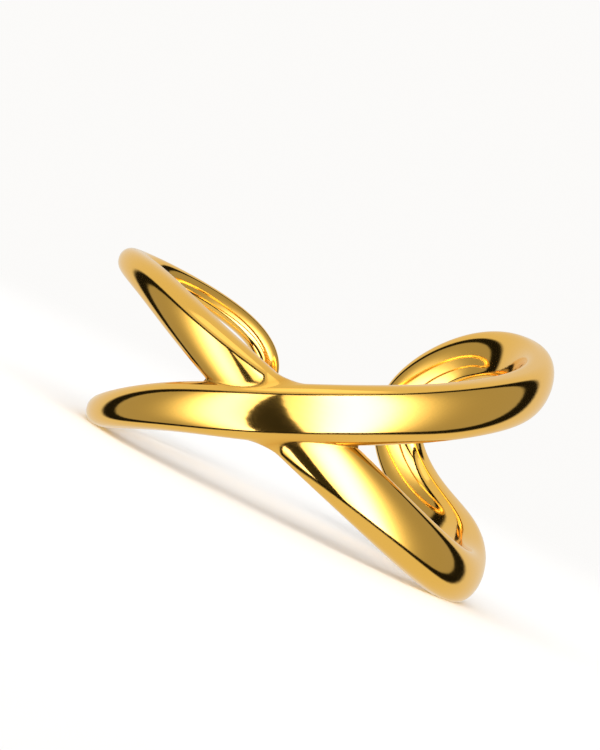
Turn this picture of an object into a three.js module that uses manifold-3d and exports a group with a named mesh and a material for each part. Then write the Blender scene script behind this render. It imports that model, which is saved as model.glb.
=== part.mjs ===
// A crossover ear cuff: two slim gold bands that cross at the front of a small
// open ring and turn back into each other at a rounded loop on either side of
// the opening. Units are millimetres, +Z is up, and the cuff lies on its side.
import * as THREE from 'three';
import { mergeVertices } from 'three/addons/utils/BufferGeometryUtils.js';
import Module from 'manifold-3d';

// Driving dimensions.
const RING_RADIUS = 5.65; // from the axis of the ring to the middle of the bands
const SECTION_SIDES = 16;
const STEPS_PER_STATION = 6;
const OUTER_POWER = 0.85; // 1 is an ellipse, less is squarer at the shoulders
const INNER_POWER = 0.6;
const SEAT_LENGTH = 1.6; // small flat behind the crossing, along X
const SEAT_HEIGHT = 1.2; // the same flat, along the ring's axis
const SEAT_DEPTH = 0.5;
const SEAT_RADIUS = 4.94; // from the axis of the ring to the flat
const LEAN_SIDE = 6.05; // degrees that the lying ring leans to its left loop
const LEAN_FRONT = 1.9; // degrees that it leans towards the crossing
const REST_FLAT = 0.05; // depth of the small flats worn where it lies on its side

const GOLD = { color: 0xd9a63c, roughness: 0.12, metalness: 1 };

// The closed course of the band, unrolled. turn is degrees round the ring from
// the crossing, positive to the right; height is along the ring's axis; lift is
// how far the band stands outside the ring's mean radius; width is along the
// axis and thick is through the band.
const OVER_BAND = [
  { turn: -120, height: -1.15, lift: 0.00, width: 0.70, thick: 0.72 },
  { turn: -90, height: -1.85, lift: 0.00, width: 0.76, thick: 0.78 },
  { turn: -60, height: -1.65, lift: 0.00, width: 1.02, thick: 0.92 },
  { turn: -30, height: -0.85, lift: 0.04, width: 1.34, thick: 1.04 },
  { turn: 0, height: 0.00, lift: 0.10, width: 1.60, thick: 1.10 },
  { turn: 30, height: 1.00, lift: 0.10, width: 1.60, thick: 1.10 },
  { turn: 60, height: 2.00, lift: 0.00, width: 1.55, thick: 1.10 },
  { turn: 90, height: 2.85, lift: 0.00, width: 1.55, thick: 1.10 },
  { turn: 120, height: 3.45, lift: 0.00, width: 1.50, thick: 1.10 },
];
const RIGHT_LOOP = [
  { turn: 147, height: 2.90, lift: 0.00, width: 1.45, thick: 1.10 },
  { turn: 162, height: 0.80, lift: 0.00, width: 1.45, thick: 1.10 },
  { turn: 147, height: -1.10, lift: 0.00, width: 1.45, thick: 1.10 },
];
const UNDER_BAND = [
  { turn: 120, height: -2.00, lift: 0.00, width: 1.50, thick: 1.10 },
  { turn: 90, height: -2.70, lift: 0.00, width: 1.55, thick: 1.10 },
  { turn: 60, height: -2.35, lift: 0.00, width: 1.55, thick: 1.10 },
  { turn: 30, height: -1.25, lift: -0.10, width: 1.60, thick: 1.05 },
  { turn: 0, height: 0.00, lift: -0.12, width: 1.58, thick: 1.05 },
  { turn: -30, height: 1.20, lift: -0.04, width: 1.28, thick: 1.04 },
  { turn: -60, height: 2.10, lift: 0.22, width: 0.96, thick: 0.92 },
  { turn: -90, height: 2.40, lift: 0.70, width: 0.72, thick: 0.78 },
  { turn: -120, height: 2.20, lift: 0.50, width: 0.70, thick: 0.72 },
];
const LEFT_LOOP = [
  { turn: -145, height: 1.55, lift: 0.20, width: 0.70, thick: 0.72 },
  { turn: -154, height: 0.45, lift: 0.05, width: 0.70, thick: 0.72 },
  { turn: -145, height: -0.55, lift: 0.00, width: 0.70, thick: 0.72 },
];
const COURSE = [...OVER_BAND, ...RIGHT_LOOP, ...UNDER_BAND, ...LEFT_LOOP];

// Two closed splines share one parameter: the course in the unrolled plane,
// and the size of the band's section along it.
function courseSplines() {
  const radians = THREE.MathUtils.degToRad;
  const places = COURSE.map((s) => new THREE.Vector3(
    RING_RADIUS * radians(s.turn), s.height, s.lift));
  const sizes = COURSE.map((s) => new THREE.Vector3(s.width, s.thick, 0));
  return {
    place: new THREE.CatmullRomCurve3(places, true, 'catmullrom', 0.5),
    size: new THREE.CatmullRomCurve3(sizes, true, 'catmullrom', 0.5),
  };
}

// Rolls a point of the unrolled plane onto the ring; the crossing faces -Y.
function rollUp(flat) {
  const angle = flat.x / RING_RADIUS;
  const radius = RING_RADIUS + flat.z;
  return new THREE.Vector3(radius * Math.sin(angle), -radius * Math.cos(angle), flat.y);
}

// One ring of points round the band: domed outside, flatter inside.
function sectionRing(splines, u) {
  const step = 1e-4;
  const flat = splines.place.getPoint(u);
  const centre = rollUp(flat);
  const tangent = rollUp(splines.place.getPoint((u + step) % 1))
    .sub(rollUp(splines.place.getPoint((u + 1 - step) % 1))).normalize();
  const angle = flat.x / RING_RADIUS;
  const outward = new THREE.Vector3(Math.sin(angle), -Math.cos(angle), 0);
  outward.addScaledVector(tangent, -outward.dot(tangent)).normalize();
  const across = new THREE.Vector3().crossVectors(tangent, outward);
  const size = splines.size.getPoint(u);
  const ring = [];
  for (let i = 0; i < SECTION_SIDES; i += 1) {
    const a = (2 * Math.PI * i) / SECTION_SIDES;
    const power = Math.cos(a) > 0 ? OUTER_POWER : INNER_POWER;
    const depth = Math.sign(Math.cos(a)) * Math.abs(Math.cos(a)) ** power;
    ring.push(centre.clone()
      .addScaledVector(outward, (size.y / 2) * depth)
      .addScaledVector(across, (size.x / 2) * Math.sin(a)));
  }
  return ring;
}

// A closed solid along the course from one station to another.
function bandSolid(splines, firstStation, lastStation) {
  const steps = (lastStation - firstStation) * STEPS_PER_STATION;
  const rings = [];
  for (let i = 0; i <= steps; i += 1) {
    const station = firstStation + i / STEPS_PER_STATION;
    rings.push(sectionRing(splines, (station / COURSE.length) % 1));
  }
  const points = rings.flat();
  const faces = [];
  const at = (ring, side) => ring * SECTION_SIDES + (side % SECTION_SIDES);
  for (let r = 0; r < steps; r += 1) {
    for (let s = 0; s < SECTION_SIDES; s += 1) {
      faces.push(at(r, s), at(r, s + 1), at(r + 1, s + 1));
      faces.push(at(r, s), at(r + 1, s + 1), at(r + 1, s));
    }
  }
  for (let s = 1; s < SECTION_SIDES - 1; s += 1) {
    faces.push(at(0, 0), at(0, s + 1), at(0, s));
    faces.push(at(steps, 0), at(steps, s), at(steps, s + 1));
  }
  const geometry = new THREE.BufferGeometry();
  geometry.setAttribute('position', new THREE.Float32BufferAttribute(
    points.flatMap((p) => [p.x, p.y, p.z]), 3));
  geometry.setIndex(faces);
  return geometry;
}

// The small flat behind the crossing, where the two bands are soldered.
function seatBlock() {
  const block = new THREE.BoxGeometry(SEAT_LENGTH, SEAT_DEPTH, SEAT_HEIGHT);
  block.translate(0, -SEAT_RADIUS - SEAT_DEPTH / 2, 0);
  return block;
}

function toManifold(wasm, geometry) {
  const bare = geometry.clone();
  bare.deleteAttribute('normal');
  bare.deleteAttribute('uv');
  const merged = mergeVertices(bare, 1e-5);
  return new wasm.Manifold(new wasm.Mesh({
    numProp: 3,
    vertProperties: new Float32Array(merged.attributes.position.array),
    triVerts: new Uint32Array(merged.index.array),
  }));
}

function fromManifold(solid) {
  const mesh = solid.getMesh();
  const geometry = new THREE.BufferGeometry();
  geometry.setAttribute('position', new THREE.Float32BufferAttribute(
    Array.from(mesh.vertProperties), 3));
  geometry.setIndex(Array.from(mesh.triVerts));
  return geometry;
}

// Leans the upright ring as it lies, with its lowest point REST_FLAT below z = 0
// and the middle of its box over the origin.
function layDown(geometry) {
  geometry.rotateY(THREE.MathUtils.degToRad(-LEAN_SIDE));
  geometry.rotateX(THREE.MathUtils.degToRad(LEAN_FRONT));
  geometry.computeBoundingBox();
  const box = geometry.boundingBox;
  geometry.translate(
    -(box.min.x + box.max.x) / 2,
    -(box.min.y + box.max.y) / 2,
    -box.min.z - REST_FLAT);
  return geometry;
}

// A slab whose top is z = 0, larger than the cuff, that takes off what is below.
function groundSlab() {
  const size = 4 * RING_RADIUS;
  const slab = new THREE.BoxGeometry(size, size, RING_RADIUS);
  slab.translate(0, 0, -RING_RADIUS / 2);
  return slab;
}

// The over band runs to the middle of the right loop, and the under band from
// there to the middle of the left one, so each half has half of both loops.
async function crossoverCuff() {
  const wasm = await Module();
  wasm.setup();
  const splines = courseSplines();
  const rightLoopMiddle = OVER_BAND.length + 1;
  const leftLoopMiddle = COURSE.length - 2;
  const over = bandSolid(splines, leftLoopMiddle - COURSE.length, rightLoopMiddle);
  const under = bandSolid(splines, rightLoopMiddle, leftLoopMiddle);
  const joined = toManifold(wasm, over)
    .add(toManifold(wasm, under))
    .add(toManifold(wasm, seatBlock()));
  const laid = toManifold(wasm, layDown(fromManifold(joined)));
  const rested = laid.subtract(toManifold(wasm, groundSlab()));
  const mesh = new THREE.Mesh(fromManifold(rested), new THREE.MeshStandardMaterial(GOLD));
  mesh.name = 'crossover_cuff';
  return mesh;
}

const earCuff = new THREE.Group();
earCuff.add(await crossoverCuff());

export default earCuff;
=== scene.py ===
# %% [markdown]
# # A crossover ear cuff in polished gold
# The real cuff is two slim bands of brass, soldered where they cross at the front and turned back
# into each other at a rounded loop on either side of a small opening. It is then plated with gold
# and polished like a mirror. A mirror shows no texture of its own, so most of this lesson is about
# two things: a surface smooth enough to reflect well, and a room worth reflecting.
#
# The imported model is loaded first, and its parts are moved into world space.

import math

import bpy
import numpy as np
from mathutils import Matrix, Vector


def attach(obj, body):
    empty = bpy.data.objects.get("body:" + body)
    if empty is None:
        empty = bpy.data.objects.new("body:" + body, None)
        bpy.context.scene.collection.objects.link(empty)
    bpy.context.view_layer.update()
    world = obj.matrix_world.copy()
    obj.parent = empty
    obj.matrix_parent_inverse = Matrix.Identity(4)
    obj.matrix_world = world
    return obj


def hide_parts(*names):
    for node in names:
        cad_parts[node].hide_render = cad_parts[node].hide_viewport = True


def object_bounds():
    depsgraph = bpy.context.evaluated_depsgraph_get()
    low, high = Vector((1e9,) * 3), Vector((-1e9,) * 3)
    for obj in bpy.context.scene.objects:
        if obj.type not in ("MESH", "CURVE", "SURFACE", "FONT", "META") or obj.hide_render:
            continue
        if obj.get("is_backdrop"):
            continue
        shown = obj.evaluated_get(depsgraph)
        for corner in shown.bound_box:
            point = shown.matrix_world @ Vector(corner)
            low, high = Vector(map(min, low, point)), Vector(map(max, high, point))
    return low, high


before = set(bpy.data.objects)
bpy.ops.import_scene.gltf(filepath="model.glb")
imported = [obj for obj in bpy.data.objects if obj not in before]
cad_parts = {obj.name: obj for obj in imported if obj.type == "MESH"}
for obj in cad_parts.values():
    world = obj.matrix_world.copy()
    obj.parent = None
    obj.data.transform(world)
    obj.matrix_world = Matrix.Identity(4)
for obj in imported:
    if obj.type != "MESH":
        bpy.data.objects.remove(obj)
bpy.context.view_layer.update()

# %% [markdown]
# ## The course of the band
# A jeweller would draw this band flat, as a strip on paper, and then roll the paper round a rod.
# The same is done here. Each row is a station on the flat drawing: how far round the ring it is in
# degrees, how high it is, how far it stands off the ring, and how wide and thick the metal is there.
# One closed line through all the stations makes both bands and both loops, so the loops run into the
# bands with no seam. Everything is in millimetres until the mesh is finished.

# %% Stations of the closed band
RING_RADIUS = 5.65
OVER_BAND = [  # turn, height, lift, width, thick
    (-120, -1.15, 0.00, 0.70, 0.72),
    (-90, -1.85, 0.00, 0.76, 0.78),
    (-60, -1.65, 0.00, 1.02, 0.92),
    (-30, -0.85, 0.04, 1.34, 1.04),
    (0, 0.00, 0.10, 1.60, 1.10),
    (30, 1.00, 0.10, 1.60, 1.10),
    (60, 2.00, 0.00, 1.55, 1.10),
    (90, 2.85, 0.00, 1.55, 1.10),
    (120, 3.45, 0.00, 1.50, 1.10),
]
RIGHT_LOOP = [
    (147, 2.90, 0.00, 1.45, 1.10),
    (162, 0.80, 0.00, 1.45, 1.10),
    (147, -1.10, 0.00, 1.45, 1.10),
]
UNDER_BAND = [
    (120, -2.00, 0.00, 1.50, 1.10),
    (90, -2.70, 0.00, 1.55, 1.10),
    (60, -2.35, 0.00, 1.55, 1.10),
    (30, -1.25, -0.10, 1.60, 1.05),
    (0, 0.00, -0.12, 1.58, 1.05),
    (-30, 1.20, -0.04, 1.28, 1.04),
    (-60, 2.10, 0.22, 0.96, 0.92),
    (-90, 2.40, 0.70, 0.72, 0.78),
    (-120, 2.20, 0.50, 0.70, 0.72),
]
LEFT_LOOP = [
    (-145, 1.55, 0.20, 0.70, 0.72),
    (-154, 0.45, 0.05, 0.70, 0.72),
    (-145, -0.55, 0.00, 0.70, 0.72),
]
stations = np.array(OVER_BAND + RIGHT_LOOP + UNDER_BAND + LEFT_LOOP, float)
print(len(stations), "stations")

# %% [markdown]
# A mirror shows every change of curvature as a kink in its reflections. A line that only keeps its
# direction at each station isn't smooth enough. A cubic spline also keeps its curvature, so a closed
# one is solved for here: its bends at all the stations are found together, as one set of equations.


# %% Closed cubic spline
def closed_spline(rows, u):
    """Values at parameter u of the closed cubic spline through rows, one row for each whole u.

    The bend b at each station obeys (b before + 4 b + b after) / 6 = the second difference of
    the rows. Between stations the curve is the straight mix of the two rows plus the bends'
    cubic terms (a^3 - a) / 6 on both sides.
    """
    count = len(rows)
    turn = np.roll(np.eye(count), 1, 0)
    second = np.roll(rows, -1, 0) - 2 * rows + np.roll(rows, 1, 0)
    bend = np.linalg.solve((turn + turn.T + 4 * np.eye(count)) / 6, second)
    first = np.floor(u).astype(int)
    b = (u - first)[:, None]
    a = 1 - b
    i, j = first % count, (first + 1) % count
    return a * rows[i] + b * rows[j] + ((a**3 - a) * bend[i] + (b**3 - b) * bend[j]) / 6


def course(u):
    """Centre, along, outward and across directions, and half sizes of the band at u.

    The flat drawing rolls up as (r sin turn, -r cos turn, height) with r the ring's radius
    plus the lift. Outward is the ring's radius made square to the band's own direction, and
    across is square to both.
    """

    def roll_up(u):
        turn, height, lift = closed_spline(stations, u)[:, :3].T
        turn = np.radians(turn)
        radius = RING_RADIUS + lift
        centre = np.stack([radius * np.sin(turn), -radius * np.cos(turn), height], 1)
        outward = np.stack([np.sin(turn), -np.cos(turn), 0 * turn], 1)
        return centre, outward

    def unit(v):
        return v / np.linalg.norm(v, axis=1, keepdims=True)

    step = 1e-3
    centre, outward = roll_up(u)
    along = unit(roll_up(u + step)[0] - roll_up(u - step)[0])
    outward = unit(outward - np.sum(outward * along, 1)[:, None] * along)
    across = np.cross(along, outward)
    width, thick = closed_spline(stations, u)[:, 3:].T
    return {"centre": centre, "along": along, "outward": outward, "across": across,
            "half_width": width / 2, "half_thick": thick / 2}


SAMPLES = 60  # for each station
RIGHT_MIDDLE = len(OVER_BAND) + 1
LEFT_MIDDLE = len(stations) - 2
OVERRUN = 0.25  # of a station that each half runs on past the middle of a loop


def half(first, last):
    """Samples of the course from one station to another, with a little overrun at both ends."""
    u = np.arange(round((first - OVERRUN) * SAMPLES), round((last + OVERRUN) * SAMPLES) + 1) / SAMPLES
    part = course(u)
    steps = np.linalg.norm(np.diff(part["centre"], axis=0), axis=1)
    part["distance"] = np.concatenate([[0], np.cumsum(steps)])
    return part


over = half(LEFT_MIDDLE - len(stations), RIGHT_MIDDLE)
under = half(RIGHT_MIDDLE, LEFT_MIDDLE)
print("band length in mm", np.round(over["distance"][-1], 1), np.round(under["distance"][-1], 1))

# %% [markdown]
# ## The section of the band
# A band that is worn is domed on the outside, to shine, and flatter on the inside, to sit well on the
# skin. The curve below does both: it is a circle stretched to the band's width and thickness, and
# raised to a power that squares it up, a little outside and more inside.

# %% Sweep each half as a closed tube
OUTER_POWER = 0.85
INNER_POWER = 0.6


def swept(part, every=6, sides=32):
    """Vertices and faces of a half: section points carried along its samples, with flat ends.

    At angle t the point is sin t half widths across, and cos t to the power of its side, in
    half thicknesses, outwards.
    """
    t = np.linspace(0, 2 * np.pi, sides, endpoint=False)
    power = np.where(np.cos(t) > 0, OUTER_POWER, INNER_POWER)
    rise = np.sign(np.cos(t)) * np.abs(np.cos(t)) ** power
    keep = {name: values[::every] for name, values in part.items()}
    grid = (keep["centre"][:, None]
            + keep["outward"][:, None] * (keep["half_thick"][:, None] * rise)[..., None]
            + keep["across"][:, None] * (keep["half_width"][:, None] * np.sin(t))[..., None])
    rings = len(grid)
    r, s = np.meshgrid(np.arange(rings - 1), np.arange(sides), indexing="ij")
    nxt = (s + 1) % sides
    faces = np.stack([r * sides + s, r * sides + nxt, (r + 1) * sides + nxt, (r + 1) * sides + s], -1)
    ends = [list(range(sides))[::-1], list(range((rings - 1) * sides, rings * sides))]
    return grid.reshape(-1, 3), faces.reshape(-1, 4).tolist() + ends


over_points, over_faces = swept(over)
under_points, under_faces = swept(under)
shift = len(over_points)
print("swept points", shift, len(under_points))

# %% [markdown]
# ## One skin over both bands
# The two tubes cross at the front and overlap in the loops. A Boolean would join them, but it leaves
# long thin faces along the seam that spoil a mirror, and it can't melt one band into the other as
# solder does. A voxel remesh wraps both in one even skin first. It is rough, and the next step moves
# each of its points exactly onto the true surface.

# %% Wrap both tubes in one skin
VOXEL = 0.062  # millimetres

draft_mesh = bpy.data.meshes.new("draft")
draft_mesh.from_pydata(
    np.concatenate([over_points, under_points]).tolist(), [],
    over_faces + [[i + shift for i in face] for face in under_faces])
draft = bpy.data.objects.new("draft", draft_mesh)
bpy.context.scene.collection.objects.link(draft)
wrap = draft.modifiers.new("wrap", "REMESH")
wrap.mode = "VOXEL"
wrap.voxel_size = VOXEL
wrapped = bpy.data.meshes.new_from_object(
    draft.evaluated_get(bpy.context.evaluated_depsgraph_get()))
skin = np.empty(len(wrapped.vertices) * 3)
wrapped.vertices.foreach_get("co", skin)
skin = skin.reshape(-1, 3)
quads = np.empty(len(wrapped.polygons) * 4, np.int32)
wrapped.polygons.foreach_get("vertices", quads)
quads = quads.reshape(-1, 4)
bpy.data.objects.remove(draft)
print("skin of", len(skin), "points and", len(quads), "quads")

# %% [markdown]
# ## The true surface
# Any point near the cuff has a distance to each band's surface. The cuff's surface is where the
# smaller of the two distances is nought. Rounding off that "smaller of" makes a fillet, as solder
# does. The fillet is wide above and below the crossing, where the bands meet at a blunt angle, and
# almost nothing in the two sharp notches, where a file keeps the corner crisp.

# %% Distance to the cuff
FILLET = 0.42  # millimetres, at the middle of the crossing
FILLET_REACH = 1.1
CREST_RADIUS = 6.15  # from the ring's axis; outside it the bands keep a crisp step between them
CREST_DEPTH = 0.4
NOTCH_FILLET = 0.05
NOTCH_REACH = 3.5
SEAT_HALF = np.array([0.8, 0.25, 0.6])  # of the block whose inner face is the flat seat
SEAT_CENTRE = np.array([0.0, -5.19, 0.0])
SEAT_FILLET = 0.3
SEAT_ROUND = 0.18


def nearest(points, part, chunk=4000):
    """Number of the nearest sample of a half for each point, from the squared distances."""
    centre = part["centre"].astype(np.float32)
    size = np.sum(centre**2, 1)
    found = [np.argmin(size - 2 * block @ centre.T, 1)
             for block in np.array_split(points.astype(np.float32), len(points) // chunk + 1)]
    return np.concatenate(found)


def band_place(points, part, index):
    """Where each point is on its band: how far past its end, along, outward and across, and the
    half sizes there.

    The foot of a point slides from its nearest sample by its offset along the band, and what is
    read there is mixed from the two samples that the foot lies between.
    """
    last = len(part["centre"]) - 2
    spacing = part["distance"][1:] - part["distance"][:-1]
    near = np.clip(index, 0, last)
    slide = np.sum((points - part["centre"][index]) * part["along"][index], 1) / spacing[near]
    foot = np.clip(index + slide, 0, last + 0.999)
    i = foot.astype(int)
    b = foot - i

    def read(name):
        values = part[name]
        mix = b if values.ndim == 1 else b[:, None]
        return values[i] * (1 - mix) + values[i + 1] * mix

    offset = points - read("centre")
    past_end = np.abs(index + slide - foot) * spacing[near]
    return (past_end, read("distance"), np.sum(offset * read("outward"), 1), np.sum(offset * read("across"), 1),
            read("half_thick"), read("half_width"))


def band_distance(points, part, index):
    """Distance to a band's surface: the point's distance from the centre line, times one minus
    the inverse of how many times larger the section through the point is than the real one."""
    past_end, _, out, side, thick, width = band_place(points, part, index)
    power = np.where(out > 0, OUTER_POWER, INNER_POWER)
    times = np.sqrt((np.abs(out) / thick) ** (2 / power) + (side / width) ** 2) + 1e-9
    distance = np.hypot(out, side) * (1 - 1 / times)
    return np.where(past_end > 0, np.maximum(distance, past_end), distance)


def rounded_min(a, b, reach):
    """The smaller of a and b, less a quarter of reach where they are equal, fading out where
    they differ by reach."""
    mix = np.clip(0.5 + 0.5 * (b - a) / reach, 0, 1)
    return b + (a - b) * mix - reach * mix * (1 - mix)


def block_distance(points, centre, half_size):
    """Distance to a block with rounded edges: outside a smaller block, the length of the part of
    the offset beyond it; inside, the least depth; and less the rounding everywhere."""
    beyond = np.abs(points - centre) - half_size + SEAT_ROUND
    outside = np.linalg.norm(np.maximum(beyond, 0), axis=1)
    return outside + np.minimum(beyond.max(1), 0) - SEAT_ROUND


def cuff_distance(points, over_index, under_index):
    """Distance to the whole cuff: both bands with their fillet, and the seat behind them."""
    a = band_distance(points, over, over_index)
    b = band_distance(points, under, under_index)
    from_crossing = np.hypot(points[:, 0], points[:, 2])
    front = points[:, 1] < 0
    depth = np.clip((CREST_RADIUS - np.hypot(points[:, 0], points[:, 1])) / CREST_DEPTH, 0, 1)
    fillet = depth * FILLET * np.exp(-((points[:, 0] / FILLET_REACH) ** 2) - (points[:, 2] / 2) ** 4)
    fillet += NOTCH_FILLET * np.exp(-((from_crossing / NOTCH_REACH) ** 4))
    joined = rounded_min(a, b, np.where(front, fillet, 0) + 1e-4)
    seat = block_distance(points, SEAT_CENTRE, SEAT_HALF)
    return rounded_min(joined, seat, SEAT_FILLET)


def slope(points, over_index, under_index, step=2e-3):
    """Gradient of the distance, from the differences across a small step along each axis."""
    sides = [(cuff_distance(points + move, over_index, under_index)
              - cuff_distance(points - move, over_index, under_index)) / (2 * step)
             for move in np.eye(3) * step]
    return np.stack(sides, 1)


# %% Move the skin onto the true surface
for _ in range(5):
    indices = nearest(skin, over), nearest(skin, under)
    gradient = slope(skin, *indices)
    gap = cuff_distance(skin, *indices)
    squared = np.maximum(np.sum(gradient**2, 1), 0.25)
    skin = skin - gradient * np.clip(gap / squared, -VOXEL, VOXEL)[:, None]
indices = nearest(skin, over), nearest(skin, under)
left_over = np.abs(cuff_distance(skin, *indices))
normals = slope(skin, *indices)
normals /= np.linalg.norm(normals, axis=1, keepdims=True)
print("furthest point from the true surface, in microns", np.round(left_over.max() * 1000, 2),
      "mean", np.round(left_over.mean() * 1000, 3))

# %% [markdown]
# ## Lay it down
# Put down on its side, the ring doesn't stand quite level: it rests on one low stretch of each side
# and leans a few degrees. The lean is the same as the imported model's, so the mesh is turned here, and
# its object stays unturned at the origin.

# %% Lean, lower and build the mesh
LEAN_SIDE = math.radians(-6.05)
LEAN_FRONT = math.radians(1.9)
REST_FLAT = 0.05  # depth of the small flats worn where it lies
lean = np.array(Matrix.Rotation(LEAN_FRONT, 3, "X") @ Matrix.Rotation(LEAN_SIDE, 3, "Y"))


def band_marks(points, over_index, under_index):
    """Marks for the finish and for the painted shade, for each point: how far along its band it is from
    the crossing, how far across it, and how near both bands are, from 0 to 1 in the corner between them."""
    places = [band_place(points, part, index)
              for part, index in ((over, over_index), (under, under_index))]
    distances = [band_distance(points, part, index)
                 for part, index in ((over, over_index), (under, under_index))]
    on_over = distances[0] < distances[1]
    along = [place[1] - part["distance"][-1] / 2 for place, part in zip(places, (over, under))]
    corner = np.exp(-np.abs(distances[0] - distances[1]) / 0.12) * (points[:, 1] < 0)
    return (np.where(on_over, along[0], -along[1]),
            np.where(on_over, places[0][3], places[1][3]), corner)


marks = band_marks(skin, *indices)
laid = skin @ lean.T
middle = (laid.min(0) + laid.max(0)) / 2
laid -= [middle[0], middle[1], laid[:, 2].min() + REST_FLAT]
laid[:, 2] = np.maximum(laid[:, 2], 0)
laid_normals = normals @ lean.T
mesh = bpy.data.meshes.new("polished_cuff")
mesh.vertices.add(len(laid))
mesh.vertices.foreach_set("co", (laid / 1000).ravel())
mesh.loops.add(quads.size)
mesh.loops.foreach_set("vertex_index", quads.ravel())
mesh.polygons.add(len(quads))
mesh.polygons.foreach_set("loop_start", np.arange(0, quads.size, 4))
mesh.update(calc_edges=True)
mesh.validate()
mesh.polygons.foreach_set("use_smooth", np.ones(len(quads), bool))
mesh.normals_split_custom_set_from_vertices(laid_normals.tolist())
for name, values in zip(("along_mm", "across_mm", "corner"), marks):
    mesh.attributes.new(name, "FLOAT", "POINT").data.foreach_set("value", values)
cuff = bpy.data.objects.new("polished_cuff", mesh)
bpy.context.scene.collection.objects.link(cuff)
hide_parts("crossover_cuff")
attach(cuff, "root")
print("cuff of", len(quads) * 2, "triangles, box in mm", np.round(laid.max(0) - laid.min(0), 2))


# %% [markdown]
# ## Shader maths as plain expressions
# Node trees are easier to read as sums. This small class wraps an output socket, so that adding or
# multiplying it makes the Math node, and one method makes any other node.

# %% Wrap a socket
class Sum:
    """A number that a node gives out; arithmetic on it adds Math nodes to the same tree."""

    def __init__(self, tree, socket):
        self.tree = tree
        self.socket = socket

    def node(self, kind, settings=None, **inputs):
        """Adds a node, makes its settings, and sets or links its sockets by name or number."""
        made = self.tree.nodes.new(kind)
        for name, value in (settings or {}).items():
            setattr(made, name, value)
        for name, value in inputs.items():
            key = int(name[1:]) if name[0] == "_" else name.replace("_", " ")
            if isinstance(value, Sum):
                self.tree.links.new(value.socket, made.inputs[key])
            else:
                made.inputs[key].default_value = value
        return made

    def out(self, made, key=0):
        return Sum(self.tree, made.outputs[key])

    def maths(self, operation, *values):
        inputs = {f"_{i}": value for i, value in enumerate(values)}
        return self.out(self.node("ShaderNodeMath", {"operation": operation}, **inputs))

    def __add__(self, other):
        return self.maths("ADD", self, other)

    def __sub__(self, other):
        return self.maths("SUBTRACT", self, other)

    def __rsub__(self, other):
        return self.maths("SUBTRACT", other, self)

    def __mul__(self, other):
        return self.maths("MULTIPLY", self, other)

    def __truediv__(self, other):
        return self.maths("DIVIDE", self, other)

    __radd__ = __add__
    __rmul__ = __mul__

    def size(self):
        return self.maths("ABSOLUTE", self)

    def ramp(self, low, high, soft=True):
        """0 below low, 1 above high, and a smooth rise between; low may be the larger."""
        made = self.node("ShaderNodeMapRange", {"interpolation_type": "SMOOTHSTEP"}, Value=self,
                         From_Min=low, From_Max=high)
        return self.out(made)


def new_tree(owner):
    owner.use_nodes = True
    owner.node_tree.nodes.clear()
    return Sum(owner.node_tree, None)


print("socket wrapper ready")

# %% [markdown]
# ## Polished gold
# Plated gold is a warm metal whose polish is never quite even. Buffing leaves hair-fine lines along
# the band, and the wheel can't reach into the corners of the crossing, where the metal stays a little
# duller. The gold there is also painted deeper in colour, as painted shade in the corners. All of that
# is faint: too much of it and the mirror is lost.

# %% Gold finish, with painted shade in the corners
GOLD = (0.95, 0.60, 0.13, 1)
# A deeper gold: painted shade where it fills the corners, and a faint random mottle where the clouds mix it in.
SHADE_AND_MOTTLE_GOLD = (0.82, 0.42, 0.06, 1)
POLISH_ROUGHNESS = 0.055


def polished_gold():
    """Gold painted deeper in colour in the corners as painted shade, with roughness from slow clouds
    and fine lines that run along the band, and a bump of the same lines."""
    material = bpy.data.materials.new("polished_gold")
    t = new_tree(material)
    place = t.out(t.node("ShaderNodeTexCoord"), "Object")
    read = {name: t.out(t.node("ShaderNodeAttribute", {"attribute_name": name}), "Fac")
            for name in ("along_mm", "across_mm", "corner")}
    band = t.out(t.node("ShaderNodeCombineXYZ", None, X=read["along_mm"] * 0.35,
                        Y=read["across_mm"] * 9.0))
    lines = t.out(t.node("ShaderNodeTexNoise", {"noise_dimensions": "2D"}, Vector=band, Scale=2.4,
                         Detail=3.0))
    clouds = t.out(t.node("ShaderNodeTexNoise", None, Vector=place, Scale=420.0, Detail=2.0))
    # The corner mark paints shade: the gold turns deeper where the two bands meet. The clouds add a faint
    # mottle of tone.
    colour = t.node("ShaderNodeMix", {"data_type": "RGBA"}, _0=read["corner"] * 0.55 + clouds * 0.12)
    colour.inputs[6].default_value = GOLD
    colour.inputs[7].default_value = SHADE_AND_MOTTLE_GOLD
    bump = t.node("ShaderNodeBump", None, Height=lines, Strength=0.012, Distance=0.00002)
    shader = t.node("ShaderNodeBsdfPrincipled", None, Base_Color=Sum(t.tree, colour.outputs[2]),
                    Metallic=1.0, Normal=t.out(bump),
                    Roughness=POLISH_ROUGHNESS + clouds * 0.03 + lines * 0.02 + read["corner"] * 0.1)
    t.node("ShaderNodeOutputMaterial", None, Surface=t.out(shader))
    return material


mesh.materials.append(polished_gold())
print("gold has", len(mesh.materials[0].node_tree.nodes), "nodes")

# %% [markdown]
# ## The camera
# The cuff is seen from a little to the right of its crossing, from just above the surface, with a
# long lens. The camera is rolled, because the cuff is worn on a slope: the ring's axis leans to the
# right as it is seen.

# %% Place the camera
CAMERA_TURN = math.radians(9)
CAMERA_RISE = math.radians(1)
CAMERA_ROLL = math.radians(26.3)
LENS = 150.0
VIEW_WIDTH = 0.0165  # metres across the picture, at the cuff
SENSOR = 36.0
SHAPE = 750 / 600

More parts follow.
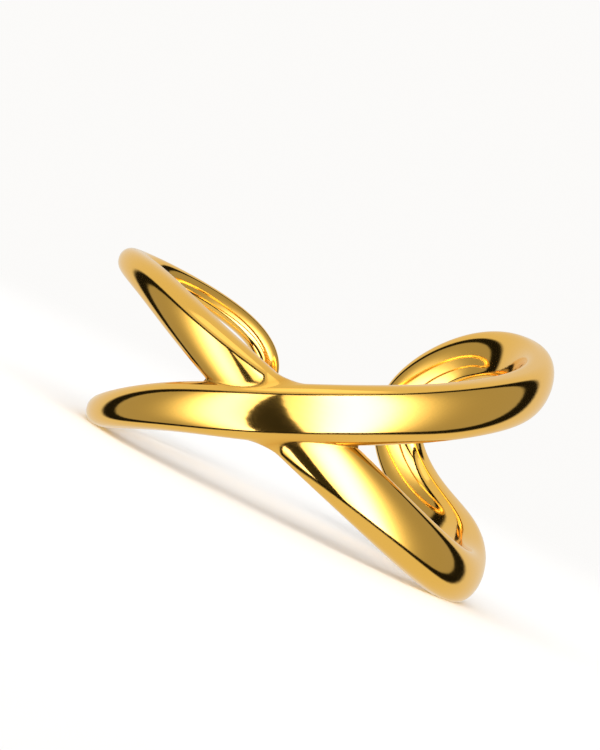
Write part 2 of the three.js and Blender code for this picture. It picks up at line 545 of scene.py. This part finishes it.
low, high = (np.array(corner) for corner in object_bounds())
target = Vector(((low[0] + high[0]) / 2, low[1] + 0.003, (low[2] + high[2]) / 2))
towards = Vector((math.sin(CAMERA_TURN) * math.cos(CAMERA_RISE),
                  -math.cos(CAMERA_TURN) * math.cos(CAMERA_RISE), math.sin(CAMERA_RISE)))
level_right = Vector((math.cos(CAMERA_TURN), math.sin(CAMERA_TURN), 0))
level_up = towards.cross(level_right)
image_right = math.cos(CAMERA_ROLL) * level_right + math.sin(CAMERA_ROLL) * level_up
image_up = math.cos(CAMERA_ROLL) * level_up - math.sin(CAMERA_ROLL) * level_right
distance = LENS / SENSOR * VIEW_WIDTH * SHAPE

camera_data = bpy.data.cameras.new("camera")
camera_data.lens = LENS
camera_data.sensor_width = SENSOR
camera_data.clip_start = 0.001
camera_data.clip_end = 20
camera = bpy.data.objects.new("camera", camera_data)
bpy.context.scene.collection.objects.link(camera)
turned = Matrix((image_right, image_up, towards)).transposed().to_4x4()
camera.matrix_world = Matrix.Translation(target + towards * distance) @ turned
bpy.context.scene.camera = camera
print("camera", round(distance * 1000), "mm away")

# %% [markdown]
# ## A room for the mirror
# Jewellery is lit by what it reflects. A photographer surrounds it with large white panels and puts
# narrow black cards between them, and the cards draw the thin dark lines that make metal look like
# metal. The room here is a sky of soft panels, written in angles as the camera sees them: round is
# the angle to the right of the camera, and rise is the angle above it.

# %% Panels and cards
FLOOR_WHITE = 0.93
SKY_WHITE = 0.97
ROOM_WHITE = (1, 0.99, 0.975, 1)
WARM_LIGHT = (1, 0.92, 0.80, 1)  # the dim flanks of the panels
COOL_LIGHT = (0.95, 0.95, 1.5, 1)  # their bright middles


def studio_sky():
    """Light from each direction: a wrap-round panel with two bright lobes and a black card
    between them, a dark line above and below it, and mid grey beyond."""
    world = bpy.data.worlds.new("studio")
    bpy.context.scene.world = world
    t = new_tree(world)
    ray = t.out(t.node("ShaderNodeTexCoord"), "Generated")

    def part_along(direction):
        made = t.node("ShaderNodeVectorMath", {"operation": "DOT_PRODUCT"}, _0=ray)
        made.inputs[1].default_value = direction
        return t.out(made, "Value")

    x, y, z = part_along(image_right), part_along(image_up), part_along(towards)
    degrees = 180 / math.pi
    turn = t.maths("ARCTAN2", x, z) * degrees
    rise = t.maths("ARCSINE", y) * degrees

    def lobe(middle, reach):
        return t.maths("EXPONENT", t.maths("POWER", (turn - middle) / reach, 2.0) * -1.0)

    panel = 0.42 + 4.8 * lobe(20, 27) + 3.0 * lobe(-46, 22)
    card = (turn - rise * 0.16).ramp(-34, -32.5) * (1 - (turn + rise * 0.14).ramp(-14, -12.5))
    panel = panel * (1 - card * 0.985)
    reach = t.maths("POWER", turn.size() / 118, 4.0) + t.maths("POWER", rise.size() / 50, 4.0)
    reach = t.maths("POWER", reach, 0.25)
    inside = 1 - reach.ramp(0.97, 1.0)
    beyond = reach.ramp(1.09, 1.14)
    top = rise.ramp(62, 66) * (1 - turn.size().ramp(60, 80))
    light = panel * inside + beyond * 0.8 + top * 0.5 + 0.012
    path = t.node("ShaderNodeLightPath")
    seen = t.out(path, "Is Camera Ray")
    strength = light * (1 - seen) + seen * SKY_WHITE
    tint = t.node("ShaderNodeMix", {"data_type": "RGBA"}, _0=light.ramp(0.8, 4.5))
    tint.inputs[6].default_value = WARM_LIGHT
    tint.inputs[7].default_value = COOL_LIGHT
    shown = t.node("ShaderNodeMix", {"data_type": "RGBA"}, _0=t.out(path, "Is Glossy Ray"),
                   _7=t.out(tint, 2))
    shown.inputs[6].default_value = ROOM_WHITE
    background = t.node("ShaderNodeBackground", None, Color=t.out(shown, 2), Strength=strength)
    t.node("ShaderNodeOutputWorld", None, Surface=t.out(background))


studio_sky()
print("sky written")

# %% [markdown]
# ## The surface it lies on
# A plain pale sheet, large enough to have no edge. Close to the cuff it takes the soft shadow, and
# further off it fades into the same white as the room, so no horizon shows.

# %% Floor
FLOOR_RADIUS = 3.0
FADE_FROM, FADE_TO = 0.02, 0.09


def pale_floor():
    """A disc whose finish goes from matt paper to the room's own white with the distance."""
    turn = np.linspace(0, 2 * np.pi, 96, endpoint=False)
    rim = np.stack([FLOOR_RADIUS * np.cos(turn), FLOOR_RADIUS * np.sin(turn), 0 * turn], 1)
    sheet = bpy.data.meshes.new("pale_floor")
    sheet.from_pydata(rim.tolist(), [], [list(range(len(rim)))])
    floor = bpy.data.objects.new("pale_floor", sheet)
    bpy.context.scene.collection.objects.link(floor)
    material = bpy.data.materials.new("pale_floor")
    t = new_tree(material)
    place = t.out(t.node("ShaderNodeTexCoord"), "Object")
    made = t.node("ShaderNodeVectorMath", {"operation": "LENGTH"}, _0=place)
    far = t.out(made, "Value").ramp(FADE_FROM, FADE_TO)
    paper = t.out(t.node("ShaderNodeBsdfDiffuse", None))
    paper.socket.node.inputs["Color"].default_value = (FLOOR_WHITE, FLOOR_WHITE, FLOOR_WHITE, 1)
    glow = t.out(t.node("ShaderNodeEmission", None, Strength=SKY_WHITE))
    glow.socket.node.inputs["Color"].default_value = ROOM_WHITE
    mixed = t.node("ShaderNodeMixShader", None, _0=far, _1=paper, _2=glow)
    t.node("ShaderNodeOutputMaterial", None, Surface=t.out(mixed))
    sheet.materials.append(material)
    floor.visible_glossy = False
    floor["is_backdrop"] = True


pale_floor()
bpy.context.scene.view_settings.view_transform = "Standard"
print("floor laid")
